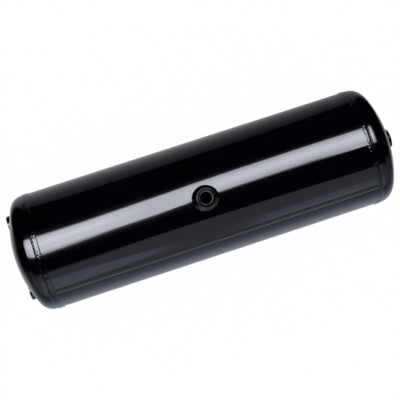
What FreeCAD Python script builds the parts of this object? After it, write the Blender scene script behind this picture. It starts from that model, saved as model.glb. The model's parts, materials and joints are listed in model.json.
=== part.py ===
"""Welded steel pressure reservoir: a rolled shell, two dished heads and four threaded ports.

Millimetres. The vessel's axis is X, with the origin on it, midway between the two heads.
+Z passes through the centre port. The left head (-X) carries two ports and the right one (+X)
a single port on the axis.

Each head is pressed with a joggled rim: its spigot slips inside the shell, and the girth
weld fills the groove between the head's shoulder and the shell's bevelled end.
"""
import FreeCAD
import Part
import math
import os

Vector = FreeCAD.Vector

# ---- Driving dimensions ------------------------------------------------------------------
shell_diameter = 206.0         # outside, also the heads' outside
overall_length = 682.0         # over the two crowns, without the ports
shell_wall = 2.5
head_wall = 3.0

crown_radius = 206.0           # outside of the dished crown
knuckle_radius = 25.0          # outside of the turn between crown and rim
rim_length = 8.4               # straight rim, from the knuckle to the middle of the girth weld

joggle_run = 4.5               # axial length over which the rim steps inwards
spigot_length = 16.0           # what reaches into the shell, from the shell's end
spigot_clearance = 0.15        # radial, between spigot and shell

root_gap = 2.0                 # shell's end to the middle of the girth weld
bevel_run = 1.2                # axial length of the bevel on the shell's end
shoulder_gap = 2.4             # head's shoulder to the middle of the girth weld
girth_cap_width = 10.0
girth_cap_height = 1.1

seam_angle = -45.0             # about +X from the centre port, towards the front
seam_gap = 2.0                 # between the two edges of the rolled sheet
seam_cap_width = 7.0
seam_cap_height = 0.8

boss_diameter = 32.0
boss_length = 19.0
boss_stand = 8.0               # how far a boss stands proud, on its own axis
boss_edge = 0.8                # chamfer round the sealing face
boss_fit = 0.2                 # radial, between a boss and its hole
thread_bore = 20.5             # tapping bore of an M22 x 1.5 thread
seal_chamfer_diameter = 25.0   # mouth of the seal-ring chamfer
exit_chamfer = 0.8             # at the inner end of the bore
port_weld_leg = 5.6            # of a port's bead, along the wall
shell_weld_height = 4.0        # of the centre port's bead, up the boss
head_weld_height = 2.2         # of a head port's bead, up the boss

head_port_spacing = 122.0      # between the two ports of the left head
head_port_drop = 24.0          # those two sit this far below the axis

# ---- Worked out from them ------------------------------------------------------------------
shell_radius = shell_diameter / 2
shell_bore = shell_radius - shell_wall
spigot_radius = shell_bore - spigot_clearance
boss_radius = boss_diameter / 2

crown_tip = overall_length / 2
crown_centre = crown_tip - crown_radius
crown_lean = math.asin((shell_radius - knuckle_radius) / (crown_radius - knuckle_radius))
rim_start = crown_centre + (crown_radius - knuckle_radius) * math.cos(crown_lean)
weld_plane = rim_start - rim_length
shell_end = weld_plane - root_gap
shoulder = weld_plane + shoulder_gap

bite = 0.6                     # how far a bead's blank reaches into what it is cut back to
weld_sections = 8              # steps in each half turn of the centre port's bead
upright = math.pi / 2
origin = Vector(0, 0, 0)
axis_x = Vector(1, 0, 0)
axis_y = Vector(0, 1, 0)
axis_z = Vector(0, 0, 1)


# ---- Helpers -------------------------------------------------------------------------------
def line(start, end):
    return Part.LineSegment(start, end).toShape()


def arc(start, middle, end):
    return Part.Arc(start, middle, end).toShape()


def section_point(x, radius):
    """A point of a half section that is turned round X."""
    return Vector(x, 0, radius)


def closed(points):
    """Straight edges through the points and back to the first."""
    return [line(a, b) for a, b in zip(points, points[1:] + points[:1])]


def turned(edges, centre=origin, axis=axis_x):
    """The solid that a closed half section makes when it turns round an axis."""
    face = Part.Face(Part.Wire(Part.__sortEdges__(edges)))
    return face.revolve(centre, axis, 360)


def mirrored(shape):
    """The same piece at the other end of the vessel."""
    return shape.mirror(origin, axis_x)


def rod(radius, start, direction, length):
    return Part.makeCylinder(radius, length, start, direction)


# ---- Heads ---------------------------------------------------------------------------------
def dish_edges(inset):
    """Crown and knuckle of a head, as far inside its outer face as inset says."""
    crown = crown_radius - inset
    knuckle = knuckle_radius - inset
    turn_height = shell_radius - knuckle_radius

    def on_crown(angle):
        return section_point(crown_centre + crown * math.cos(angle), crown * math.sin(angle))

    def on_knuckle(angle):
        along = knuckle * math.cos(angle)
        return section_point(rim_start + along, turn_height + knuckle * math.sin(angle))

    halfway = (crown_lean + upright) / 2
    edges = [
        arc(on_crown(0), on_crown(crown_lean / 2), on_crown(crown_lean)),
        arc(on_knuckle(crown_lean), on_knuckle(halfway), on_knuckle(upright)),
    ]
    return edges, on_crown(0), on_knuckle(upright)


def joggle_points(inset):
    """Corners of the rim's step down to the spigot, and the spigot's end."""
    slope = math.atan2(shell_radius - spigot_radius, joggle_run)
    top = shoulder - inset * math.tan(slope / 2)
    return [
        section_point(top, shell_radius - inset),
        section_point(top - joggle_run, spigot_radius - inset),
        section_point(shell_end - spigot_length, spigot_radius - inset),
    ]


def head_blank():
    """The right head before its port is cut: one wall thickness all over."""
    outer, outer_tip, outer_rim = dish_edges(0)
    inner, inner_tip, inner_rim = dish_edges(head_wall)
    corners = [outer_rim] + joggle_points(0) + joggle_points(head_wall)[::-1] + [inner_rim]
    straight = [line(a, b) for a, b in zip(corners, corners[1:])]
    return turned(outer + straight + inner + [line(inner_tip, outer_tip)])


def head_envelope():
    """The right head as if it were solid, to cut beads back to its outer face."""
    outer, tip, rim = dish_edges(0)
    corners = [rim, section_point(shell_end, shell_radius), section_point(shell_end, 0), tip]
    return turned(outer + [line(a, b) for a, b in zip(corners, corners[1:])])


# ---- Shell ---------------------------------------------------------------------------------
def shell_blank():
    """The rolled sheet as a tube, with both ends bevelled for the girth welds."""
    outer_end = shell_end - bevel_run
    corners = [
        section_point(-shell_end, shell_bore),
        section_point(shell_end, shell_bore),
        section_point(outer_end, shell_radius),
        section_point(-outer_end, shell_radius),
    ]
    return turned(closed(corners))


def seam_slot():
    """The gap between the sheet's two edges, through the wall."""
    slot = Part.makeBox(2 * shell_end, seam_gap, 2 * shell_wall)
    slot.translate(Vector(-shell_end, -seam_gap / 2, shell_radius - 1.5 * shell_wall))
    return slot.rotate(origin, axis_x, -seam_angle)


def seam_cap():
    """The crowned top of the seam's bead, reaching a little into the shell."""
    half = seam_cap_width / 2
    edge_height = math.sqrt(shell_radius ** 2 - half ** 2)
    left = Vector(-shell_end, -half, edge_height)
    right = Vector(-shell_end, half, edge_height)
    top = Vector(-shell_end, 0, shell_radius + seam_cap_height)
    below = axis_z * -bite
    edges = [
        arc(left, top, right),
        line(right, right + below),
        line(right + below, left + below),
        line(left + below, left),
    ]
    cap = Part.Face(Part.Wire(edges)).extrude(axis_x * (2 * shell_end))
    return cap.rotate(origin, axis_x, -seam_angle)


# ---- Girth welds ---------------------------------------------------------------------------
def girth_blank():
    """The right girth bead before it is cut back to the head's joggle."""
    half = girth_cap_width / 2
    left = section_point(weld_plane - half, shell_radius)
    right = section_point(weld_plane + half, shell_radius)
    top = section_point(weld_plane, shell_radius + girth_cap_height)
    path = [
        right,
        section_point(shoulder, shell_radius),
        section_point(shoulder, spigot_radius),
        section_point(shell_end, spigot_radius),
        section_point(shell_end, shell_bore),
        section_point(shell_end - bevel_run, shell_radius),
        left,
    ]
    return turned([arc(left, top, right)] + [line(a, b) for a, b in zip(path, path[1:])])


# ---- Ports ---------------------------------------------------------------------------------
class Port:
    """A boss's foot on the outer face, the way it points, and the wall's normal there."""

    def __init__(self, name, foot, out, normal):
        self.name = name
        self.foot = foot
        self.out = out
        self.normal = normal


def centre_port():
    return Port("centre_port", axis_z * shell_radius, axis_z, axis_z)


def head_port(name, side, y, z):
    """A port parallel to the vessel's axis, on the crown of the head on that side."""
    reach = math.sqrt(crown_radius ** 2 - y ** 2 - z ** 2)
    foot = Vector(side * (crown_centre + reach), y, z)
    normal = Vector(side * reach, y, z).normalize()
    return Port(name, foot, axis_x * side, normal)


def boss(port):
    """A turned weld boss: chamfered sealing face, seal chamfer and tapping bore."""
    low = boss_stand - boss_length
    bore = thread_bore / 2
    mouth = seal_chamfer_diameter / 2
    outline = [
        (bore, boss_stand - (mouth - bore)),
        (mouth, boss_stand),
        (boss_radius - boss_edge, boss_stand),
        (boss_radius, boss_stand - boss_edge),
        (boss_radius, low),
        (bore + exit_chamfer, low),
        (bore, low + exit_chamfer),
    ]
    across = port.out.cross(axis_y).normalize()
    corners = [port.foot + across * radius + port.out * lift for radius, lift in outline]
    return turned(closed(corners), port.foot, port.out)


def boss_hole(port):
    """What is drilled through the wall for a boss."""
    start = port.foot + port.out * (boss_stand - boss_length)
    return rod(boss_radius + boss_fit, start, port.out, boss_length)


def boss_blank(port):
    """A plain rod as thick as the boss, to cut its bead back to it."""
    return rod(boss_radius, port.foot - port.out * boss_length, port.out, 2 * boss_length)


def bead_section(height, wall):
    """A bead's section as radius and lift, reaching a little into the boss and the wall.

    wall gives the outer face's lift over the foot, at a distance from the bead's axis."""
    toe = boss_radius + port_weld_leg
    toe_lift = wall(toe)
    rise = (wall(boss_radius) + height - toe_lift) / port_weld_leg
    inner = boss_radius - bite
    return [
        (inner, toe_lift + rise * (toe - inner)),
        (toe, toe_lift),
        (toe, toe_lift - bite),
        (inner, toe_lift - bite),
    ]


def shell_bead(port):
    """The blank of the centre port's bead, whose toe follows the round shell."""
    halves = []
    for start in (0, math.pi):
        sections = []
        for step in range(weld_sections + 1):
            turn = start + math.pi * step / weld_sections
            across = axis_x * math.cos(turn) + axis_y * math.sin(turn)

            def wall(radius):
                sideways = radius * math.sin(turn)
                return math.sqrt(shell_radius ** 2 - sideways ** 2) - shell_radius

            outline = bead_section(shell_weld_height, wall)
            corners = [port.foot + across * radius + axis_z * lift for radius, lift in outline]
            sections.append(Part.Wire(closed(corners)))
        halves.append(Part.makeLoft(sections, True, False))
    return halves[0].fuse(halves[1])


def head_bead(port):
    """The blank of a head port's bead, turned round the wall's normal at its foot."""
    def wall(radius):
        return math.sqrt(crown_radius ** 2 - radius ** 2) - crown_radius

    across = port.normal.cross(axis_y).normalize()
    outline = bead_section(head_weld_height, wall)
    corners = [port.foot + across * radius + port.normal * lift for radius, lift in outline]
    return turned(closed(corners), port.foot, port.normal)


# ---- The whole vessel ----------------------------------------------------------------------
def with_holes(wall, ports):
    for port in ports:
        wall = wall.cut(boss_hole(port))
    return wall


def body_pieces(shell_ports, left_ports, right_ports):
    """The shell, the two heads and the welds that join them."""
    tube = shell_blank()
    slot = seam_slot()
    head = head_blank()
    right_girth = girth_blank().cut(head)
    left_girth = mirrored(right_girth)
    proud = seam_cap().cut(rod(shell_radius, axis_x * -shell_end, axis_x, 2 * shell_end))
    seam = proud.fuse(tube.common(slot)).cut(right_girth).cut(left_girth)
    return {
        "shell": with_holes(tube.cut(slot), shell_ports),
        "shell_seam_weld": seam.removeSplitter(),
        "left_girth_weld": left_girth,
        "right_girth_weld": right_girth,
        "left_head": with_holes(mirrored(head), left_ports),
        "right_head": with_holes(head, right_ports),
    }


def port_pieces(ports, bead, envelope):
    """Each port's boss and the bead that joins it to the wall that the envelope stands for."""
    pieces = {}
    for port in ports:
        pieces[port.name + "_boss"] = boss(port)
        pieces[port.name + "_weld"] = bead(port).cut(boss_blank(port)).cut(envelope)
    return pieces


def build():
    """Every piece by its name."""
    aside = head_port_spacing / 2
    shell_ports = [centre_port()]
    left_ports = [
        head_port("left_rear_port", -1, aside, -head_port_drop),
        head_port("left_front_port", -1, -aside, -head_port_drop),
    ]
    right_ports = [head_port("right_port", 1, 0, 0)]
    drum = rod(shell_radius, axis_x * -shell_end, axis_x, 2 * shell_end)
    head_solid = head_envelope()
    pieces = body_pieces(shell_ports, left_ports, right_ports)
    pieces.update(port_pieces(shell_ports, shell_bead, drum))
    pieces.update(port_pieces(left_ports, head_bead, mirrored(head_solid)))
    pieces.update(port_pieces(right_ports, head_bead, head_solid))
    return pieces


os.makedirs("parts", exist_ok=True)
for name, shape in build().items():
    shape.exportStep("parts/" + name + ".step")
    print(name, shape.isValid(), len(shape.Solids), round(shape.Volume, 1), shape.BoundBox)
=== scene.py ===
# %% [markdown]
# # Dressing a compressed-air reservoir in gloss black
#
# A truck or bus keeps the air for its brakes, doors and springs in steel reservoirs like this one.
# A sheet is rolled into a shell and welded along one seam, a pressed head is welded into each end,
# and four threaded bosses are welded in for the pipe fittings. Then the whole vessel is enamelled.
#
# The CAD model already holds the true shape and size of all fourteen pieces. What it leaves plain
# is Blender's part of the work: the ripples that a welding torch leaves in each bead, the screw
# thread in each boss, the wet look of the enamel, and a studio for the enamel to reflect.
# The CAD nodes are a fixed frame. They are never moved or reshaped: each one either gets a finer
# material, or is hidden and stood for by a finer mesh that is built in the same place.

# %% Load the CAD model
import json
import math

import bmesh
import bpy
from mathutils import Matrix, Vector, noise


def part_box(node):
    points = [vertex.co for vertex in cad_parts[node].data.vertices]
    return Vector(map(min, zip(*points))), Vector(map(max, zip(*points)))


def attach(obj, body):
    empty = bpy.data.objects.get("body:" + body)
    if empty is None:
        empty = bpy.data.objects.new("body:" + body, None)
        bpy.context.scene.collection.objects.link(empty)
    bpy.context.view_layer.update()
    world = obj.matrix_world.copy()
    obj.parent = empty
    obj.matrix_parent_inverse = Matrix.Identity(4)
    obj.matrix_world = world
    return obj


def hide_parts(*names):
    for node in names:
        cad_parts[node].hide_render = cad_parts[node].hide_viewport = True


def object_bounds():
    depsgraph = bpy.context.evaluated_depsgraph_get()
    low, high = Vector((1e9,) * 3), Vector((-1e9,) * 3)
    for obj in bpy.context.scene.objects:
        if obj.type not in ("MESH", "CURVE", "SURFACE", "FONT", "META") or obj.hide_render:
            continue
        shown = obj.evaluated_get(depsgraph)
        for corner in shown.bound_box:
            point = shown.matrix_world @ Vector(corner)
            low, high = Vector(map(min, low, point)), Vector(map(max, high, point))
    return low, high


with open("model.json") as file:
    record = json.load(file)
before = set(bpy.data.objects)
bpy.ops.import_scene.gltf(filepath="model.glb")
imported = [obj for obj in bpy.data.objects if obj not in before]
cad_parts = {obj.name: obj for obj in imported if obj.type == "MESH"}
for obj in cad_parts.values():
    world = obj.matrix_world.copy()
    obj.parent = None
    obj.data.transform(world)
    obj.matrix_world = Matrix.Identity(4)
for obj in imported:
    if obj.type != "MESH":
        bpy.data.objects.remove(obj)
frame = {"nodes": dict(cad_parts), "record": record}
cad_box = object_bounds()
mm = 0.001
print("CAD box in mm:", [[round(c / mm, 1) for c in corner] for corner in cad_box])

# %% [markdown]
# ## Measuring before building
#
# A mesh that stands for a CAD node has to sit exactly where that node sits. So nothing here is
# placed by eye: the radius of the shell, the planes of the girth welds and the faces of the bosses
# are read from the boxes of the nodes, and the axes of the ports come from the record's mounts.
# The heads are pressed to the usual torispherical rule, in which the crown of the head is part of
# a ball whose radius equals the diameter of the shell.

# %% Read the sizes of the vessel
shell_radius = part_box("shell")[1].y
crown_radius = 2 * shell_radius
crown_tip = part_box("left_head")[0].x
crown_centre = -crown_tip - crown_radius
mounts = {mount["name"]: mount for mount in frame["record"]["mounts"]}
print(f"shell radius {shell_radius / mm:.1f} mm, crown radius {crown_radius / mm:.1f} mm")
print("mounts:", ", ".join(mounts))

# %% [markdown]
# ## The camera
#
# The vessel lies on the floor and is seen from straight above, turned by about eighteen degrees in
# the picture and from a point slightly nearer to its left end. A camera could be aimed with a
# track constraint, but a matrix made of its own three axes says the same without any helper:
# `right` and `up` are the directions of the picture's sides and `back` points at the viewer.

# %% Set up the camera
camera_distance = 1668.5 * mm
camera_lean = math.radians(3.19)
picture_turn = math.radians(18.03)
camera_aim = Vector((-4.84 * mm, -0.53 * mm, 0))
lens_length = 85.4

back = Vector((-math.sin(camera_lean), 0, math.cos(camera_lean)))
along = Vector((math.cos(camera_lean), 0, math.sin(camera_lean)))
across = Vector((0, 1, 0))
right = along * math.cos(picture_turn) - across * math.sin(picture_turn)
up = along * math.sin(picture_turn) + across * math.cos(picture_turn)

camera_data = bpy.data.cameras.new("camera")
camera_data.lens = lens_length
camera = bpy.data.objects.new("camera", camera_data)
bpy.context.collection.objects.link(camera)
axes = Matrix((right, up, back)).transposed().to_4x4()
camera.matrix_world = Matrix.Translation(camera_aim + back * camera_distance) @ axes
bpy.context.scene.camera = camera
print("camera at", [round(c, 3) for c in camera.matrix_world.translation])

# %% [markdown]
# ## Node materials in a few lines
#
# Every finish below is a small node tree. Making nodes by hand takes many lines, so helpers come
# first: `blank_material` returns a material and its empty tree, and `add` makes one node, sets its
# options and fills or links its inputs. An input that is given as a socket is linked, and one that
# is given as a number or a colour is written on the node itself. The other helpers name a few
# groups of nodes that come back in several finishes.

# %% Helpers for node trees


def fill(tree, node, inputs):
    """Writes or links the inputs of a node."""
    for name, value in inputs.items():
        socket = node.inputs[name]
        if isinstance(value, bpy.types.NodeSocket):
            tree.links.new(value, socket)
        else:
            socket.default_value = value


def add(tree, kind, inputs=None, **options):
    """Adds a node of this kind to the tree and returns it."""
    node = tree.nodes.new("ShaderNode" + kind)
    for name, value in options.items():
        setattr(node, name, value)
    fill(tree, node, inputs or {})
    return node


def blank_material(name):
    """A new material whose tree is still empty. Returns the material and the tree."""
    material = bpy.data.materials.new(name)
    material.use_nodes = True
    tree = material.node_tree
    tree.nodes.clear()
    return material, tree


def finish_tree(tree, shader, kind="OutputMaterial"):
    """Adds the tree's output and links a shader to it."""
    add(tree, kind, {"Surface": shader})


def between(tree, value, low, high):
    """Maps a socket that runs from 0 to 1 on to the range from low to high."""
    return add(tree, "MapRange", {"Value": value, "To Min": low, "To Max": high}).outputs["Result"]


def calculate(tree, operation, *values):
    """A Math node on up to three numbers or sockets."""
    return add(tree, "Math", dict(enumerate(values)), operation=operation).outputs["Value"]


def product(tree, value, *others):
    """The product of several numbers or sockets."""
    for other in others:
        value = calculate(tree, "MULTIPLY", value, other)
    return value


def coordinates(tree, kind):
    """The X, Y and Z of a place in texture coordinates of this kind, such as Object or UV."""
    return add(tree, "SeparateXYZ", {"Vector": add(tree, "TexCoord").outputs[kind]}).outputs


def distance_from_origin(tree, x, y):
    """How far a place in the XY plane is from the origin."""
    flat = add(tree, "CombineXYZ", {"X": x, "Y": y}).outputs["Vector"]
    return add(tree, "VectorMath", {0: flat}, operation="LENGTH").outputs["Value"]


def two_tone(tree, value, first, last, stops=(0.0, 1.0)):
    """A colour that goes from the first to the last while the value goes between two stops."""
    node = add(tree, "ValToRGB", {"Fac": value})
    for element, stop, colour in zip(node.color_ramp.elements, stops, (first, last)):
        element.position = stop
        element.color = (*colour, 1)
    return node.outputs["Color"]


def mix_shaders(tree, share, first, last):
    """A mix of two shaders, from only the first at share 0 to only the last at share 1."""
    return add(tree, "MixShader", {0: share, 1: first, 2: last}).outputs["Shader"]


print("helpers ready")

# %% [markdown]
# ## Gloss-black enamel
#
# The real finish is a stoved black enamel over primer. It is so dark that almost all of the light
# that comes off it is mirrored, so its colour matters little and its surface matters a lot:
# - it levels out while wet but keeps a faint orange peel, a few millimetres from crest to crest;
# - rolling and pressing leave the steel below very slightly wavy over a hand's breadth;
# - a few specks of dust are caught in it, and a thin film of dust and wiping marks dulls it a bit.
#
# Each of these could be sculpted, but they are a tenth of a millimetre high at most, so a bump from
# procedural noise is the right tool. Heights are given in metres, so the relief stays true whatever
# the size of the texture.

# %% Mix the enamel
wave_length, wave_height = 90 * mm, 0.10 * mm
peel_length, peel_height = 3.2 * mm, 0.004 * mm
speck_spacing, speck_radius, speck_height = 21 * mm, 0.35 * mm, 0.03 * mm
film_length = 24 * mm
enamel_roughness = (0.035, 0.06)


def noise_height(tree, place, size, detail=2.0):
    """Noise from 0 to 1 whose features are about as large as size, in metres."""
    return add(tree, "TexNoise", {"Vector": place, "Scale": 1 / size, "Detail": detail}).outputs["Fac"]


def relief(tree, height, depth, under=None):
    """A bump of this depth in metres, laid over an earlier one."""
    inputs = {"Height": height, "Strength": 1.0, "Distance": depth}
    if under:
        inputs["Normal"] = under
    return add(tree, "Bump", inputs).outputs["Normal"]


def dust_specks(tree, place, spacing, radius):
    """Spots of this radius, one in each cell of this spacing, from 0 to 1."""
    cells = add(tree, "TexVoronoi", {"Vector": place, "Scale": 1 / spacing})
    share = radius / spacing
    spot = add(tree, "MapRange", {"Value": cells.outputs["Distance"], "From Min": share, "From Max": 0.0})
    return spot.outputs["Result"]


def mix_enamel():
    """The black enamel of the whole vessel."""
    material, tree = blank_material("gloss_black_enamel")
    place = add(tree, "TexCoord").outputs["Object"]
    wave = relief(tree, noise_height(tree, place, wave_length, 1.0), wave_height)
    peel = relief(tree, noise_height(tree, place, peel_length), peel_height, wave)
    specks = relief(tree, dust_specks(tree, place, speck_spacing, speck_radius), speck_height, peel)
    film = noise_height(tree, place, film_length, 5.0)
    shader = add(tree, "BsdfPrincipled", {
        "Base Color": two_tone(tree, film, (0.0006, 0.0005, 0.0014), (0.0015, 0.0012, 0.0030), (0.35, 0.75)),
        "Roughness": between(tree, film, *enamel_roughness),
        "IOR": 1.54,
        # The blue Specular Tint is a painted blue cast of the mirrored light, not a colour of the enamel.
        "Specular Tint": (0.765, 0.795, 1.0, 1),
        "Normal": specks,
    })
    finish_tree(tree, shader.outputs["BSDF"])
    return material


enamel = mix_enamel()
for name in ("shell", "left_head", "right_head"):
    frame["nodes"][name].material_slots[0].material = enamel
print("enamel on the shell and both heads")

# %% [markdown]
# ## Cut steel in the threads
#
# The ports are closed with plastic caps while the vessel is sprayed, so the thread and the chamfer
# that seats the fitting's seal stay bare. A tap and a countersink leave fine rings round the axis.
# The rings could be cut into the mesh, but they are a fifth of a millimetre apart and far shallower
# than that, so they are a bump from noise that changes only with the distance from the axis and
# with the depth. Each boss is built round its own Z axis, which is why its object coordinates
# already have that axis in the right place.

# %% Mix the thread steel
ring_spacing, ring_height = 0.22 * mm, 0.012 * mm
stain_length = 4 * mm
steel_roughness = (0.42, 0.3)


def mix_thread_steel():
    """Bare machined steel with ring marks round the local Z axis."""
    material, tree = blank_material("bare_thread_steel")
    place = add(tree, "TexCoord").outputs["Object"]
    parts = add(tree, "SeparateXYZ", {"Vector": place}).outputs
    run = calculate(tree, "SUBTRACT", distance_from_origin(tree, parts["X"], parts["Y"]), parts["Z"])
    rings = add(tree, "TexNoise", {"W": run, "Scale": 1 / ring_spacing}, noise_dimensions="1D")
    stain = noise_height(tree, place, stain_length, 4.0)
    shader = add(tree, "BsdfPrincipled", {
        "Base Color": two_tone(tree, stain, (0.075, 0.077, 0.086), (0.16, 0.165, 0.185), (0.3, 0.7)),
        "Metallic": 1.0,
        "Roughness": between(tree, stain, *steel_roughness),
        "Normal": relief(tree, rings.outputs["Fac"], ring_height),
    })
    finish_tree(tree, shader.outputs["BSDF"])
    return material


thread_steel = mix_thread_steel()
print("thread steel ready")

# %% [markdown]
# ## One way to make every new piece
#
# A weld bead and a boss are both a closed outline that travels round a closed path, like a ring of
# dough. Modifiers could do that with a curve and a bevel, but then every section would be equal,
# and the point of a weld is that no two sections are. So one helper takes a list of rings, each a
# list of points, and skins them. With its ends joined the result is a closed loop. Otherwise the
# two end rings are filled, so the piece is still a closed solid with no loose faces.

# %% Helper that skins rings into a solid


def skin(name, rings, materials, joined=True, bare=(), place=None, sharp=40):
    """A closed solid through rings of points.

    Column j is the strip of faces between the points j and j + 1 of all rings. The columns in bare
    take the second material. Edges with an angle above sharp, in degrees, stay hard.
    """
    count, size = len(rings), len(rings[0])
    mesh = bpy.data.meshes.new(name)
    faces = []
    for i in range(count if joined else count - 1):
        here, there = i * size, (i + 1) % count * size
        for j in range(size):
            k = (j + 1) % size
            faces.append((here + j, here + k, there + k, there + j))
    if not joined:
        faces.append(tuple(range(size)))
        faces.append(tuple(range((count - 1) * size, count * size)))
    mesh.from_pydata([point for ring in rings for point in ring], [], faces)
    for material in materials:
        mesh.materials.append(material)
    for face in mesh.polygons:
        face.material_index = 1 if face.index % size in bare else 0
    shape = bmesh.new()
    shape.from_mesh(mesh)
    bmesh.ops.recalc_face_normals(shape, faces=shape.faces)
    shape.to_mesh(mesh)
    shape.free()
    mesh.shade_smooth()
    mesh.set_sharp_from_angle(angle=math.radians(sharp))
    piece = bpy.data.objects.new(name, mesh)
    piece.matrix_world = place or Matrix.Identity(4)
    bpy.context.collection.objects.link(piece)
    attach(piece, "root")
    return piece


print("skin helper ready")

# %% [markdown]
# ## What a weld bead looks like
#
# A torch lays metal in small pulses. Each pulse freezes as a rounded scale that laps over the one
# before, so a bead is a low flat band with steep flanks, its edges run in small scallops, and
# curved creases cross it between the scales. The hand or the robot wavers a little, so the width,
# the height and the length of the scales drift.
#
# The height is worked out from two lengths: how far along the bead a point is, and how far across.
# `scale_lobe` is `abs(sin)`, which gives rounded lobes with sharp notches between them. The lobes
# push the two edges in and out, and a narrow crease lies between two scales. Adding the square of
# the across value to the phase bends the creases. Smooth noise from `mathutils` adds the drift and
# a fine roughness. It is the same on every run, because it has no seed.
#
# Some beads are laid in two passes that don't quite meet. Then a valley runs lengthwise beside the
# second flank: it drops on its steep side, next to the flank, and climbs back on its gentle side.

# %% Helpers for the height of a bead
edge_lag = 0.4                              # scales by which the two edges are out of step
crest_drift, edge_sag = 0.08, 0.03          # shares of the crest
crease_width = 0.3                          # share of the height of a lobe
mean_crease = 0.6                           # share of the full depth, before the drift
faint_crease, crease_gain = 0.3, 1.2        # faint on the first half, deeper to the second edge
grain_length, grain_width, grain_share = 4.5 * mm, 1.0 * mm, 0.8
valley_waver = 0.2


def clamp(value, low, high):
    return min(max(value, low), high)


def drift(distance, length, channel):
    """Smooth noise from -1 to 1 along a bead, which repeats nowhere. Channels are independent."""
    return noise.noise(Vector((distance / length, 7.3 * channel, 1.7)))


def scale_lobe(distance, pitch, channel, bend=0.0):
    """0 in the notch between two scales and 1 on the middle of a scale."""
    shift = 0.5 * drift(distance, 2.5 * pitch, channel)
    return abs(math.sin(math.pi * (distance / pitch + shift + bend)))


class Bead:
    """Sizes of a kind of bead. Pairs are for the edges at -half and at half, in that order.

    A valley is the width of its gentle side, the width of its steep side, and its depth.
    """

    def __init__(self, half, crest, pitch, flanks, scallops, crease, valley=(1 * mm, 1 * mm, 0)):
        self.half, self.crest, self.pitch = half, crest, pitch
        self.flanks, self.scallops = flanks, scallops
        self.crease = crease
        self.gentle_side, self.steep_side, self.valley_depth = valley

    def inside_edges(self, distance, offset, channel):
        """How far a point is inside the first and the second scalloped edge."""
        early = scale_lobe(distance + edge_lag * self.pitch, self.pitch, channel + 1)
        late = scale_lobe(distance, self.pitch, channel)
        first_edge = self.scallops[0] * (1 - early)
        second_edge = self.scallops[1] * (1 - late)
        return self.half - first_edge + offset, self.half - second_edge - offset

    def dents(self, distance, offset, channel):
        """Depth of the creases, which come and go, and of the roughness of the cap."""
        across = offset / self.half
        crease = scale_lobe(distance, self.pitch, channel, across * across) / crease_width
        patch = clamp(mean_crease + drift(distance, 0.8 * self.pitch, channel + 3), 0, 1)
        patch *= clamp(faint_crease + crease_gain * across, faint_crease, 1)
        rough = noise.noise(Vector((distance / grain_length, offset / grain_width, channel + 0.5)))
        return self.crease * (patch * math.exp(-crease * crease) + grain_share / 2 - grain_share * rough)

    def valley(self, distance, past_flank, channel):
        """Depth of the valley at a distance past the second flank."""
        waver = 1 + valley_waver / 2 - valley_waver * scale_lobe(distance, self.pitch, channel)
        climb = 1 + (self.steep_side - past_flank) / (self.gentle_side * waver)
        return self.valley_depth * max(min(past_flank / self.steep_side, climb), 0)

    def height(self, distance, offset, channel):
        """Height at a distance along the bead and an offset across it, between -half and half."""
        across = offset / self.half
        inside = self.inside_edges(distance, offset, channel)
        width = clamp(inside[0] / self.flanks[0], 0, 1) * clamp(inside[1] / self.flanks[1], 0, 1)
        swell = 1.0 + crest_drift * drift(distance, 3 * self.pitch, channel + 2) - edge_sag * across * across
        dent = self.dents(distance, offset, channel)
        dent += self.valley(distance, inside[1] - self.flanks[1], channel)
        return width * (self.crest * swell - dent)


sample = Bead(5 * mm, 1.1 * mm, 5.6 * mm, flanks=(1.1 * mm, 1.8 * mm), scallops=(0, 0), crease=0,
              valley=(1 * mm, 0.8 * mm, 0.5 * mm))
print("heights in mm at six places across a bead 10 mm wide:",
      [round(sample.height(0.0, offset * mm, 0) / mm, 2) for offset in (-5, -3, 0, 1.5, 2.3, 3.2)])

# %% [markdown]
# ## The two girth welds
#
# Each head is held by one bead that runs right round the vessel while it turns on rollers. It fills
# the groove between the end of the shell and the shoulder of the joggled head, and stands about a
# millimetre proud. On the head's side the cap stops short of the edge of the pass below it, which
# leaves a narrow valley all round. Where the bead meets its own start, the welder laps over it by a
# finger's width, which leaves a lump and a small crater where the arc was cut.
#
# The two welds differ a little, as two welds do. The left one spreads a millimetre further on to
# its head than the box of its node says, and its valley is the narrower one.
#
# The underside of the piece lies just below the plate, so no gap shows along its toes.

# %% Build the girth welds
girth_pitch = 5.6 * mm
girth_welds = {
    "left_girth_weld": {
        "spread": 1.0 * mm,
        "valley": (1.9 * mm, 0.6 * mm, 1.1 * mm),
        "lap_angle": math.radians(24),
    },
    "right_girth_weld": {
        "spread": 0.0,
        "valley": (3.3 * mm, 0.5 * mm, 1.0 * mm),
        "lap_angle": math.radians(19),
    },
}
lap_height, lap_length = 0.3 * mm, 7 * mm
crater_radius, crater_depth, crater_shift = 2.0 * mm, 1.0 * mm, 1.5 * mm
slow_wander, quick_wander = 0.3 * mm, 0.2 * mm
lowest_rise = -0.05 * mm
under_plate = 0.5 * mm


def lap_shape(distance, offset, middle):
    """Height that the lap adds: a smooth lump, and a round crater just past its middle."""
    lump = lap_height * math.exp(-((distance - middle) / lap_length) ** 2)
    reach = math.hypot(distance - middle - crater_shift, offset) / crater_radius
    return lump - crater_depth * math.exp(-reach * reach)


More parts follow.
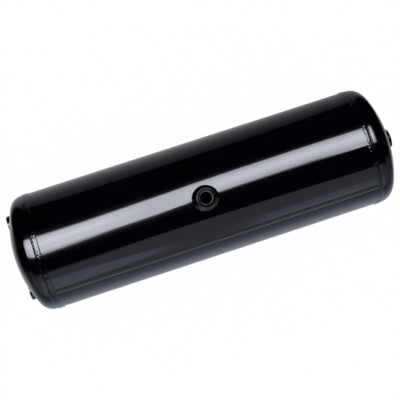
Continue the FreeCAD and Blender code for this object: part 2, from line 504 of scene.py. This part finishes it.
def girth_weld(node, channel, spread, valley, lap_angle):
    """A rippled bead round the X axis in place of this node. The spread is more width on the head."""
    low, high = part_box(node)
    outward = math.copysign(1, low.x)
    middle = (low.x + high.x + outward * spread) / 2
    half = (high.x - low.x + spread) / 2
    profile = Bead(half, high.y - shell_radius, girth_pitch, flanks=(1.3 * mm, 1.3 * mm),
                   scallops=(0.3 * mm, 0.15 * mm), crease=0.26 * mm, valley=valley)
    steps_round, steps_over = 1100, 48
    length = math.tau * shell_radius
    lap_place = shell_radius * lap_angle
    rings = []
    for i in range(steps_round):
        angle = math.tau * i / steps_round
        distance = length * i / steps_round
        wander = slow_wander * math.sin(3 * angle + channel) + quick_wander * math.sin(11 * angle)
        ring = []
        for j in range(steps_over + 1):
            offset = half * (2 * j / steps_over - 1)
            rise = profile.height(distance, offset, channel)
            rise += lap_shape(distance, offset, lap_place) * rise / profile.crest
            ring.append((offset + wander, shell_radius + clamp(rise, lowest_rise, profile.crest)))
        ring.append((half, shell_radius - under_plate))
        ring.append((-half, shell_radius - under_plate))
        rings.append([(middle + outward * o, -r * math.sin(angle), r * math.cos(angle)) for o, r in ring])
    piece = skin(node.replace("weld", "bead"), rings, [enamel])
    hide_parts(node)
    return piece


for channel, (node, own) in enumerate(girth_welds.items()):
    bead = girth_weld(node, 10 * channel, **own)
    print(bead.name, len(bead.data.polygons), "faces")

# %% [markdown]
# ## The seam of the shell
#
# The sheet is rolled and closed by a lengthwise weld made by machine, so it is lower and more even
# than the girth welds. It is the same kind of cap, run along a straight line, but its flanks are
# long and gentle, and its scallops and creases hardly show. The line lies where the CAD node lies:
# its box gives the two ends, and the middle of the box gives the direction from the vessel's axis.

# %% Build the seam weld
seam_wander, seam_wander_length = 0.2 * mm, 60 * mm
seam_profile = Bead(4.6 * mm, 0.9 * mm, 3.4 * mm, flanks=(2.5 * mm, 1.9 * mm),
                    scallops=(0.06 * mm, 0.06 * mm), crease=0.02 * mm)


def seam_weld(node, channel):
    """A rippled bead along the X axis in place of this node."""
    low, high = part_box(node)
    start, end = low.x, high.x
    angle = math.atan2((low.y + high.y) / 2, (low.z + high.z) / 2)
    outward = Vector((0, math.sin(angle), math.cos(angle)))
    sideways = Vector((0, math.cos(angle), -math.sin(angle)))
    half = seam_profile.half
    steps_along, steps_over = 1000, 12
    rings = []
    for i in range(steps_along + 1):
        distance = (end - start) * i / steps_along
        wander = seam_wander * drift(distance, seam_wander_length, channel + 5)
        ring = []
        for j in range(steps_over + 1):
            offset = half * (2 * j / steps_over - 1)
            rise = min(seam_profile.height(distance, offset, channel), seam_profile.crest)
            side = offset + wander
            height = math.sqrt(shell_radius ** 2 - side ** 2) + rise
            ring.append(sideways * side + outward * height)
        for side in (half, -half):
            ring.append(sideways * side + outward * (shell_radius - under_plate))
        rings.append([Vector((start + distance, 0, 0)) + point for point in ring])
    piece = skin("shell_seam_bead", rings, [enamel], joined=False)
    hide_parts(node)
    return piece


seam_bead = seam_weld("shell_seam_weld", 30)
print(seam_bead.name, len(seam_bead.data.polygons), "faces")

# %% [markdown]
# ## The ports
#
# Each port is a round steel boss with an M22 x 1.5 thread, welded into a hole in the shell or in a
# head. A port has its own small frame: the origin where its axis meets the face of the boss, Z out
# of the vessel. In that frame every boss is the same piece, and only the surface that it stands on
# differs: a cylinder under the centre port and a ball under the ports in the heads.
#
# The frame is written as a matrix, which then places the finished mesh. `ground` gives the height
# of the vessel's skin at a place round the axis, in that same frame.

# %% Set up the port frames


class Port:
    """A port's frame and sizes, read from its mount and the box of its boss."""

    def __init__(self, name):
        mount = mounts[name]
        self.name = name
        self.node = name + "_boss"
        self.weld = name + "_weld"
        self.bore = mount["dims"]["r_mm"] * mm
        self.axis = Vector(mount["axis"])
        low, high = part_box(self.node)
        size = high - low
        lengthwise = max(range(3), key=lambda i: abs(self.axis[i]))
        self.length = size[lengthwise]
        self.radius = size[(lengthwise + 1) % 3] / 2
        middle = (low + high) / 2
        face = middle + self.axis * self.length / 2
        side = Vector((0, 1, 0))
        turned = Matrix((side.cross(self.axis), side, self.axis)).transposed().to_4x4()
        self.frame = Matrix.Translation(face) @ turned
        self.inverse = self.frame.inverted()

    def ground(self, x, y):
        """Height of the vessel's skin at this place beside the axis, in the port's frame."""
        at = self.frame @ Vector((x, y, 0))
        if self.axis.z:
            at.z = math.sqrt(shell_radius ** 2 - at.y ** 2)
        else:
            across = crown_radius ** 2 - at.y ** 2 - at.z ** 2
            at.x = self.axis.x * (crown_centre + math.sqrt(across))
        return (self.inverse @ at).z


ports = [Port(name) for name in ("centre_port", "left_rear_port", "left_front_port", "right_port")]
for port in ports:
    print(f"{port.name}: boss {2 * port.radius / mm:.1f} mm across and {port.length / mm:.1f} mm long,",
          f"stands {-port.ground(port.radius, 0) / mm:.1f} mm proud")

# %% [markdown]
# ## Bosses with a real thread
#
# An M22 x 1.5 thread is a groove of 60 degrees that climbs 1.5 mm in each turn. Inside a boss the
# crests are at the tapping bore and the bottom of the groove is 0.75 mm deeper. Blender has a
# screw modifier, but the start of a real thread, where a chamfer cuts it away at a slant, is
# easier in plain arithmetic: the radius of the hole is worked out at each angle and depth as the
# larger of the chamfer and the thread, and the cut end appears by itself.
#
# Each ring of the skin is one cut through the boss from face to foot and back up the bore. The
# helix closes on itself, because the groove's phase grows by exactly one turn for each turn.

# %% Build the bosses
thread_pitch = 1.5 * mm
thread_depth = 0.75 * mm
seal_chamfer_radius = 12.5 * mm
edge_round = 0.5 * mm
edge_steps = 5
face_edge = 0.15 * mm
exit_chamfer = 0.8 * mm
boss_steps = 96
rows_per_pitch = 8
root_flat, crest_flat = 0.14, 0.22


def thread_groove(turns):
    """Depth of the groove from 0 at a crest to 1 at the root, for a place in turns."""
    place = abs(2 * (turns % 1) - 1)
    return clamp((place - crest_flat) / (1 - crest_flat - root_flat), 0, 1)


def hole_radius(port, turn, depth):
    """Radius of the hole at a share of a turn and a depth below the face."""
    groove = port.bore + thread_depth * thread_groove(depth / thread_pitch + turn)
    mouth = seal_chamfer_radius - depth
    outlet = port.bore + exit_chamfer - (port.length - depth)
    return max(groove, mouth, outlet)


def boss(port):
    """A boss with a threaded hole and a rounded outer edge in place of the plain one."""
    rows = round(port.length / thread_pitch * rows_per_pitch)
    outside = [(port.radius - edge_round - face_edge, 0)]
    for k in range(edge_steps + 1):
        lean = math.radians(90 * k / edge_steps)
        inset, drop = edge_round * (1 - math.sin(lean)), edge_round * (1 - math.cos(lean))
        outside.append((port.radius - inset, -drop))
    outside.append((port.radius, -port.length))
    rings = []
    for i in range(boss_steps):
        turn = i / boss_steps
        cut = list(outside)
        for k in range(rows, -1, -1):
            depth = port.length * k / rows
            cut.append((hole_radius(port, turn, depth), -depth))
        angle = math.tau * turn
        rings.append([(r * math.cos(angle), r * math.sin(angle), z) for r, z in cut])
    bare = range(len(outside), len(outside) + rows)
    piece = skin(port.name + "_threaded_boss", rings, [enamel, thread_steel], bare=bare, place=port.frame)
    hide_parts(port.node)
    return piece


for port in ports:
    piece = boss(port)
    print(piece.name, len(piece.data.polygons), "faces")

# %% [markdown]
# ## The fillet welds round the bosses
#
# A boss is welded all round on the outside with one straight fillet, crossed by faint ripples. The
# welder dwells a little on one side, so the leg on the skin is wider there, most of all on the
# centre port. Under that port the skin curves away on two sides, and under the ports in the heads
# it slants, so each ring asks `ground` for the height of the skin below every point and adds the
# rise of the fillet to it.

# %% Build the port welds
port_pitch = 4.2 * mm
port_ripple, ripple_spread = 0.06 * mm, 0.3
fillet_leg, leg_waver = 5.9 * mm, 0.02
shell_fillet = {"climb": 5.0 * mm, "dwell": 0.25}
head_fillet = {"climb": 2.4 * mm, "dwell": 0.05}


def dwell_side(angle):
    """How the dwell is shared out round the axis: 1.4 at 180 degrees, 0 at 0, -0.2 half-way."""
    return 0.25 + 0.45 * math.cos(2 * angle) - 0.7 * math.cos(angle)


def port_weld(port, channel, climb, dwell):
    """A rippled fillet round a boss in place of the plain one. Dwell widens the leg on one side."""
    steps_round, steps_over = 320, 20
    rings = []
    for i in range(steps_round):
        angle = math.tau * i / steps_round
        distance = (port.radius + fillet_leg / 2) * angle
        direction = Vector((math.cos(angle), math.sin(angle), 0))
        waver = 1 + dwell * dwell_side(angle) + leg_waver * math.sin(5 * angle + channel)
        ring = []
        for j in range(steps_over + 1):
            share = 1 - j / steps_over
            point = direction * (port.radius + fillet_leg * share * waver)
            lobe = scale_lobe(distance, port_pitch, channel, 0.4 * share)
            rise = climb * (1 - share)
            rise += port_ripple * (lobe - 1) * math.exp(-((share - 0.5) / ripple_spread) ** 2)
            point.z = port.ground(point.x, point.y) + rise
            ring.append(point)
        last, first = ring[-1], ring[0]
        ring += [Vector((at.x, at.y, port.ground(at.x, at.y) - under_plate)) for at in (last, first)]
        rings.append(ring)
    piece = skin(port.name + "_bead", rings, [enamel], place=port.frame, sharp=70)
    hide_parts(port.weld)
    return piece


for channel, port in enumerate(ports):
    piece = port_weld(port, 50 + 10 * channel, **(shell_fillet if port.axis.z else head_fillet))
    print(piece.name, len(piece.data.polygons), "faces")

# %% [markdown]
# ## A white floor that keeps the shadow
#
# The vessel lies on a plain white floor, and the floor should look the same white everywhere. A
# floor that is only painted white shades off with distance, so here two shaders are mixed: for
# rays from the camera, and for rays that gloss or glass sends on, most of the floor is plain
# Emission of strength 1, which is white, and the rest is an ordinary diffuse white that darkens
# a little under the vessel. For all other rays the floor is only the diffuse white, so it throws
# light back on to the vessel as a real floor would. The world is a plain white of strength 1.

# %% Lay the floor and light the world
floor_half = 40.0
glow_share = 0.99


def seen_rays(tree):
    """1 for rays from the camera and for rays that gloss or glass sends on, else 0."""
    path = add(tree, "LightPath").outputs
    both = calculate(tree, "MAXIMUM", path["Is Camera Ray"], path["Is Glossy Ray"])
    return calculate(tree, "MAXIMUM", both, path["Is Transmission Ray"])


def white_floor():
    """White for the eye, with a faint shadow, and a plain diffuse white for the light."""
    material, tree = blank_material("white_floor")
    grain = add(tree, "TexNoise", {"Scale": 3.0, "Detail": 3.0}).outputs["Fac"]
    tint = two_tone(tree, grain, (0.86, 0.86, 0.86), (0.90, 0.90, 0.90))
    plain = add(tree, "BsdfDiffuse", {"Color": tint}).outputs["BSDF"]
    glow = add(tree, "Emission", {"Color": (1, 1, 1, 1), "Strength": 1.0}).outputs["Emission"]
    share = product(tree, seen_rays(tree), glow_share)
    finish_tree(tree, mix_shaders(tree, share, plain, glow))
    return material


def level_corners(low, high, height):
    """The corners of a level rectangle between a low and a high corner."""
    return [(low[0], low[1], height), (high[0], low[1], height),
            (high[0], high[1], height), (low[0], high[1], height)]


def studio_sheet(name, corners, material):
    """A flat sheet of the studio, which isn't part of the vessel."""
    mesh = bpy.data.meshes.new(name)
    mesh.from_pydata(corners, [], [tuple(range(len(corners)))])
    mesh.materials.append(material)
    sheet = bpy.data.objects.new(name, mesh)
    bpy.context.collection.objects.link(sheet)
    return sheet


floor_level = cad_box[0].z
floor_corners = level_corners((-floor_half, -floor_half), (floor_half, floor_half), floor_level)
studio_sheet("floor", floor_corners, white_floor())

world = bpy.data.worlds.new("white_studio")
world.use_nodes = True
world.node_tree.nodes.clear()
sky = add(world.node_tree, "Background", {"Color": (1, 1, 1, 1), "Strength": 1.0}).outputs["Background"]
finish_tree(world.node_tree, sky, "OutputWorld")
bpy.context.scene.world = world
print(f"floor at {floor_level / mm:.1f} mm")

# %% [markdown]
# ## Shaping the reflections
#
# Gloss black shows nothing but the room around it. In a white room it would look milky, so a
# product photographer hangs black flags round such a thing and lets one long softbox through.
# That softbox is the bright band along the vessel, and its blurred edge is the band's soft edge.
#
# The flags and the softbox here can be seen only by rays that gloss sends on: they cast no shadow
# and light nothing, and the camera looks straight through them. So the plain light of the room
# stays as it was, and only the picture in the enamel is shaped.
#
# Long sheets that hang free are never quite straight, and the bow shows in the enamel. So every
# lengthwise sheet is a strip of panels between two lines, and a line is a function that gives the
# place at any X. Each sheet gets UVs: U runs along it and V across it, both from 0 to 1. How much
# a sheet glows is drawn over U and V as a list of stops, each a position and a level, with a
# colour ramp between them.
#
# The enamel tints what it mirrors towards blue where it is seen straight on: that tint is a painted
# blue cast of the light, not a colour of the enamel. So the softbox has a slightly yellow light to
# make up for that, and the other sheets stay nearly white.

# %% Helpers for what only gloss can see
cool_white = (0.965, 0.995, 1.0, 1)


def for_gloss_only(sheet):
    """Hides a sheet of the studio from everything but reflections."""
    sheet.visible_camera = False
    sheet.visible_diffuse = False
    sheet.visible_transmission = False
    sheet.visible_volume_scatter = False
    sheet.visible_shadow = False
    return sheet


def ramp(tree, value, stops, smooth="EASE"):
    """A colour ramp through grey stops, each a position and a level."""
    node = add(tree, "ValToRGB", {"Fac": value})
    colours = node.color_ramp
    colours.interpolation = smooth
    while len(colours.elements) < len(stops):
        colours.elements.new(0.5)
    for element, (position, level) in zip(colours.elements, stops):
        element.position = position
        element.color = (level, level, level, 1)
    return node.outputs["Color"]


def light(tree, strength, colour=cool_white):
    """The light of a glowing sheet."""
    return add(tree, "Emission", {"Color": colour, "Strength": strength}).outputs["Emission"]


def black_cloth():
    """Cloth that sends nothing back at all."""
    material, tree = blank_material("black_flag")
    finish_tree(tree, light(tree, 0.0))
    return material


def soft_topped(name, level, along, depths):
    """A glow that is black at its top line. Stops over U give its level and the depth of the fade."""
    material, tree = blank_material(name)
    place = coordinates(tree, "UV")
    down = calculate(tree, "DIVIDE", place["Y"], ramp(tree, place["X"], depths))
    top = add(tree, "MapRange", {"Value": down}, interpolation_type="SMOOTHSTEP").outputs["Result"]
    strength = product(tree, ramp(tree, place["X"], along), level, top)
    finish_tree(tree, light(tree, strength))
    return material


def soft_panel(name, level, along, across):
    """A glow that turns clear where its stops over U and V fall to 0."""
    material, tree = blank_material(name)
    place = coordinates(tree, "UV")
    solid = product(tree, ramp(tree, place["X"], along), ramp(tree, place["Y"], across))
    clear = add(tree, "BsdfTransparent").outputs["BSDF"]
    finish_tree(tree, mix_shaders(tree, solid, clear, light(tree, level)))
    return material


def long_sheet(name, first, second, ends, material, panels=40):
    """A sheet between two lines, which each give Y and Z at an X between these ends."""
    mesh = bpy.data.meshes.new(name)
    points = []
    for i in range(panels + 1):
        x = ends[0] + (ends[1] - ends[0]) * i / panels
        points += [(x, *first(x)), (x, *second(x))]
    faces = [(2 * i, 2 * i + 2, 2 * i + 3, 2 * i + 1) for i in range(panels)]
    mesh.from_pydata(points, [], faces)
    layer = mesh.uv_layers.new(name="cloth")
    for loop in mesh.loops:
        panel, side = divmod(loop.vertex_index, 2)
        layer.data[loop.index].uv = (panel / panels, side)
    mesh.materials.append(material)
    sheet = bpy.data.objects.new(name, mesh)
    bpy.context.collection.objects.link(sheet)
    return for_gloss_only(sheet)


print("sheets can be hung")

# %% [markdown]
# The black flag covers the sky over the vessel, from its near edge to a wall on the far side, with
# a wall at each end. The near edge is straight on the left. From the middle it bows away from the
# vessel, to `bow_end` on the right.

# %% Hang the black flags
black = black_cloth()
flag_height = 1.6
flag_ends = (-4.0, 4.0)
flag_near, flag_bow, bow_end = -1.245, 0.41, 0.7
far_wall = 3.0


def near_edge(x):
    """The near edge of the black flag, with its bow on the right."""
    x = clamp(x, 0, bow_end)
    return flag_near - flag_bow * x * x, flag_height


def far_edge(x):
    return far_wall, flag_height


def far_foot(x):
    return far_wall, floor_level


long_sheet("top_flag", near_edge, far_edge, flag_ends, black, panels=200)
long_sheet("far_flag", far_edge, far_foot, flag_ends, black)
for name, x in (("left_flag", flag_ends[0]), ("right_flag", flag_ends[1])):
    wall = [near_edge(x), far_edge(x), far_foot(x), (near_edge(x)[0], floor_level)]
    for_gloss_only(studio_sheet(name, [(x, *corner) for corner in wall], black))
print("black flags in place")

# %% [markdown]
# On the near side a grey wall hangs from the edge of the flag down to the floor, and two white
# panels hang just before it. They are the steps of grey along the lower half of the vessel. The left
# panel is the taller one, and both its long edges slant in towards the middle of the vessel. It is
# easiest to say where a panel stands by the angle at which the vessel sees it, since that is what
# sets its place in the enamel.

# %% Hang the grey wall and the white panels
wall_level, left_level, right_level = 0.72, 1.33, 1.24
wall_along = [(0.1, 0.33), (0.34, 0.8), (0.42, 1.0), (0.53, 0.88), (0.585, 0.88), (0.63, 0.62), (0.8, 0.4)]
wall_depths = [(0.28, 0.7), (0.4475, 0.22), (0.489, 0.08), (0.6, 0.08), (0.66, 0.3), (0.75, 0.6)]
left_along = [(0.1, 0), (0.6, 1), (0.82, 1), (0.95, 0)]
left_across = [(0, 0.3), (0.18, 1), (0.85, 1), (1, 0.2)]
right_along = [(0, 0), (0.2, 1), (0.4, 1), (0.8, 0)]
right_across = [(0, 0), (0.45, 0.75), (0.8, 1)]
panel_gap = 0.02
turn_start = -0.35


def near_foot(x):
    return near_edge(x)[0], floor_level


def on_wall(angle, turn=0.0):
    """A line just before the wall, by its angle from straight up, seen from the vessel's axis.

    To the right of turn_start the angle changes by this many degrees in each metre.
    """
    def line(x):
        y = near_edge(x)[0] + panel_gap
        seen = angle + turn * max(x - turn_start, 0)
        return y, y / math.tan(math.radians(seen))
    return line


grey = soft_topped("grey_wall", wall_level, wall_along, wall_depths)
left_white = soft_panel("left_panel", left_level, left_along, left_across)
right_white = soft_panel("right_panel", right_level, right_along, right_across)
long_sheet("grey_wall", near_edge, near_foot, flag_ends, grey, panels=200)
long_sheet("left_panel", on_wall(-56, -28), on_wall(-82.5, 28), (-1.1, 0.04), left_white)
long_sheet("right_panel", on_wall(-62), on_wall(-86), (0.10, 1.0), right_white)
print("one grey wall and two white panels")

# %% [markdown]
# A black cloth lies on the floor round the vessel. Seen in the enamel it dims the floor, little
# near the vessel and more further off, because its inner edge is frayed out. On the near side it is
# darker again right beside the vessel: that dip is painted shadow of the vessel on the floor, which
# the enamel mirrors. The fraying is worked out from the distance to the vessel's middle line: the
# cloth is a mix of black and of clear, and two lists of stops say how clear it is at a share of
# `cloth_range`, one for the far side and one for the near side. The near side, where the white
# panels stand, stays clearer. The far side grows darker to the right. Past the heads the far side
# closes, and the near side closes by about half. Where the cloth is clear it lets a slightly blue
# light through.

# %% Lay the frayed cloth
cloth_half = 20.0
cloth_rise = 0.05 * mm
cloth_middle = 0.012
straight_half = 0.27
cloth_range = 4.0
far_clear = [(0.045, 0.66), (0.0925, 0.445), (0.15, 0.29), (0.3, 0.225), (1, 0.1)]
# The first near stop, darker than the next, is painted shadow of the vessel on the floor, as the enamel
# mirrors it.
near_clear_and_painted_shadow = [(0.045, 0.72), (0.058, 0.95), (0.07, 0.92), (0.11, 0.65), (0.2, 0.6)]
far_tint, near_tint = (0.90, 0.945, 0.995), (0.82, 0.93, 1.0)
dimmed_to_right = [(0, 1), (0.6, 0.4)]
far_closes, near_closes, near_left_open = (0.385, 0.5), (0.30, 0.52), 0.45
near_starts, near_full = -0.1, -0.6         # shares of Y in the distance


def fade_between(tree, value, start, end, first, last):
    """A smooth change from a first level to a last one between two places."""
    node = add(tree, "MapRange", {"Value": value, "From Min": start, "From Max": end,
                                  "To Min": first, "To Max": last}, interpolation_type="SMOOTHSTEP")
    return node.outputs["Result"]


def frayed_cloth():
    """Black that turns clear towards the vessel, by the distance from the vessel's middle line, with painted
    shadow of the vessel just beside it on the near side.
    """
    material, tree = blank_material("frayed_black_cloth")
    place = coordinates(tree, "Object")
    from_middle = calculate(tree, "ABSOLUTE", calculate(tree, "SUBTRACT", place["X"], cloth_middle))
    past_end = calculate(tree, "MAXIMUM", calculate(tree, "SUBTRACT", from_middle, straight_half), 0.0)
    away = distance_from_origin(tree, past_end, place["Y"])
    share_away = calculate(tree, "DIVIDE", away, cloth_range)
    to_right = ramp(tree, place["X"], dimmed_to_right, "LINEAR")
    far_end = fade_between(tree, from_middle, *far_closes, 1.0, 0.0)
    far_side = product(tree, ramp(tree, share_away, far_clear, "LINEAR"), to_right, far_end)
    near_end = fade_between(tree, from_middle, *near_closes, 1.0, near_left_open)
    near_side = product(tree, ramp(tree, share_away, near_clear_and_painted_shadow, "LINEAR"), near_end)
    side = calculate(tree, "DIVIDE", place["Y"], away)
    nearness = fade_between(tree, side, near_starts, near_full, 0.0, 1.0)
    clear = add(tree, "Mix", {"Factor": nearness, "A": far_side, "B": near_side}).outputs["Result"]
    tint = two_tone(tree, nearness, far_tint, near_tint)
    see_through = add(tree, "BsdfTransparent", {"Color": tint}).outputs["BSDF"]
    finish_tree(tree, mix_shaders(tree, clear, light(tree, 0.0), see_through))
    return material


cloth_level = floor_level + cloth_rise
cloth_corners = level_corners((-cloth_half, -cloth_half), (cloth_half, cloth_half), cloth_level)
for_gloss_only(studio_sheet("frayed_cloth", cloth_corners, frayed_cloth()))
print("cloth laid")

# %% [markdown]
# The softbox hangs over the far side of the vessel and isn't quite in line with it, so its band
# runs at a slight slant and bows a little. Its cloth is bright inside and falls off over a hand's
# breadth at the edges, with a faint glow from the frame beyond them. Towards the left end it dims
# slowly, and at the right end it fades out over a third of a metre. Behind it one lamp stands at
# the left and one at the right, so the middle, over the centre port, gets less.
#
# The two edges are lines through a few places. The sheet is wider than the box by a fringe on each
# side, where the glow dies away, and the distances in the falloffs count from the edge inwards.
# They are turned into V with `box_width`, the usual width of the box.

# %% Hang the softbox
box_height = 1.303
box_level = 11.5
box_ends = (-2.1, 1.25)
box_fringe = 0.34
box_width = 0.762
box_colour = (1.0, 1.0, 0.885, 1)


def line_through(*places):
    """A function that gives Y at any X on straight runs between these places, and is level beyond."""
    def y_at(x):
        x = clamp(x, places[0][0], places[-1][0])
        for (x0, y0), (x1, y1) in zip(places, places[1:]):
            if x <= x1:
                return y0 + (y1 - y0) * (x - x0) / (x1 - x0)
        return places[-1][1]
    return y_at


box_low_edge = line_through((-0.42, -0.193), (-0.29, -0.142), (-0.23, -0.115), (-0.06, -0.068),
                            (-0.02, -0.031), (0.016, 0.017), (0.04, 0.058), (0.15, 0.080),
                            (0.20, 0.0995), (0.30, 0.118), (0.41, 0.133), (0.55, 0.062))
box_high_edge = line_through((-1.45, 0.895), (-0.9, 0.815), (-0.4, 0.725), (-0.29, 0.706),
                             (-0.18, 0.735), (-0.06, 0.767), (0.2, 0.841), (0.55, 0.853))
low_falloff = [(-0.3, 0.0), (-0.17, 0.004), (-0.09, 0.012), (-0.025, 0.06), (0.0, 0.5), (0.025, 0.93),
               (0.06, 1.0)]
high_falloff = [(-0.34, 0.0), (-0.24, 0.006), (-0.13, 0.013), (-0.06, 0.026), (-0.02, 0.2), (0.0, 0.5),
                (0.04, 0.95), (0.08, 1.0)]
end_fades = [(0, 0), (0.075, 0.55), (0.24, 0.8), (0.45, 1), (0.806, 1), (0.833, 0.75), (0.884, 0.28),
             (0.912, 0)]
even_light = [(0.505, 1.0), (0.611, 1.03), (0.709, 0.86), (0.782, 0.88), (0.815, 0.95)]
left_lamp = {
    "along": [(0.534, 0.44), (0.611, 0.03)],
    "across": [(0.30, 0), (0.40, 0.52), (0.545, 1), (0.64, 0.62), (0.74, 0)],
}
right_lamp = {
    "along": [(0.602, 0), (0.69, 0.39)],
    "across": [(0.27, 0), (0.38, 0.7), (0.49, 1), (0.57, 0.72), (0.7, 0)],
}


def low_fringe(x):
    return box_low_edge(x) - box_fringe, box_height


def high_fringe(x):
    return box_high_edge(x) + box_fringe, box_height


def falloff(tree, across, distances):
    """How bright the cloth is near an edge, by a distance inside it and a level there."""
    whole = box_width + 2 * box_fringe
    stops = [((box_fringe + inside) / whole, level) for inside, level in distances]
    return ramp(tree, across, stops, "LINEAR")


def lamp_light(tree, place, lamp):
    """The spot of light of one lamp on the cloth."""
    return product(tree, ramp(tree, place["X"], lamp["along"]), ramp(tree, place["Y"], lamp["across"]))


def softbox_cloth():
    """Bright cloth whose light falls off towards the edges, with two lamps behind it."""
    material, tree = blank_material("softbox_cloth")
    place = coordinates(tree, "UV")
    low_side = falloff(tree, place["Y"], low_falloff)
    high_side = falloff(tree, calculate(tree, "SUBTRACT", 1.0, place["Y"]), high_falloff)
    ends = ramp(tree, place["X"], end_fades, "LINEAR")
    even = ramp(tree, place["X"], even_light)
    lamps = calculate(tree, "ADD", *[lamp_light(tree, place, lamp) for lamp in (left_lamp, right_lamp)])
    level = calculate(tree, "ADD", even, lamps)
    strength = product(tree, level, low_side, high_side, ends, box_level)
    finish_tree(tree, light(tree, strength, box_colour))
    return material


long_sheet("softbox", low_fringe, high_fringe, box_ends, softbox_cloth(), panels=80)
print(f"softbox {box_width:.2f} m wide, {box_height:.2f} m above the axis")

# %% [markdown]
# The flat face of the centre port would mirror the glow at the softbox's low edge and turn pale. A
# black card no larger than a hand hangs under that spot. Only the port sees it, so its face is
# black, and the rounded edge round the face still catches thin glints of the softbox.

# %% Hang the port's black card
card_height = 1.28
card_low, card_high = (0.036, -0.07), (0.113, 0.07)
for_gloss_only(studio_sheet("port_card", level_corners(card_low, card_high, card_height), black))
print(f"card of {(card_high[0] - card_low[0]) / mm:.0f} by {(card_high[1] - card_low[1]) / mm:.0f} mm")

# %% [markdown]
# ## Plain view settings
#
# The light above is plain: a white world of strength 1, in which a colour comes out about as it is
# written. The Standard view transform keeps it that way, where a film-like one would bend it.

# %% Set the view
bpy.context.scene.view_settings.view_transform = "Standard"
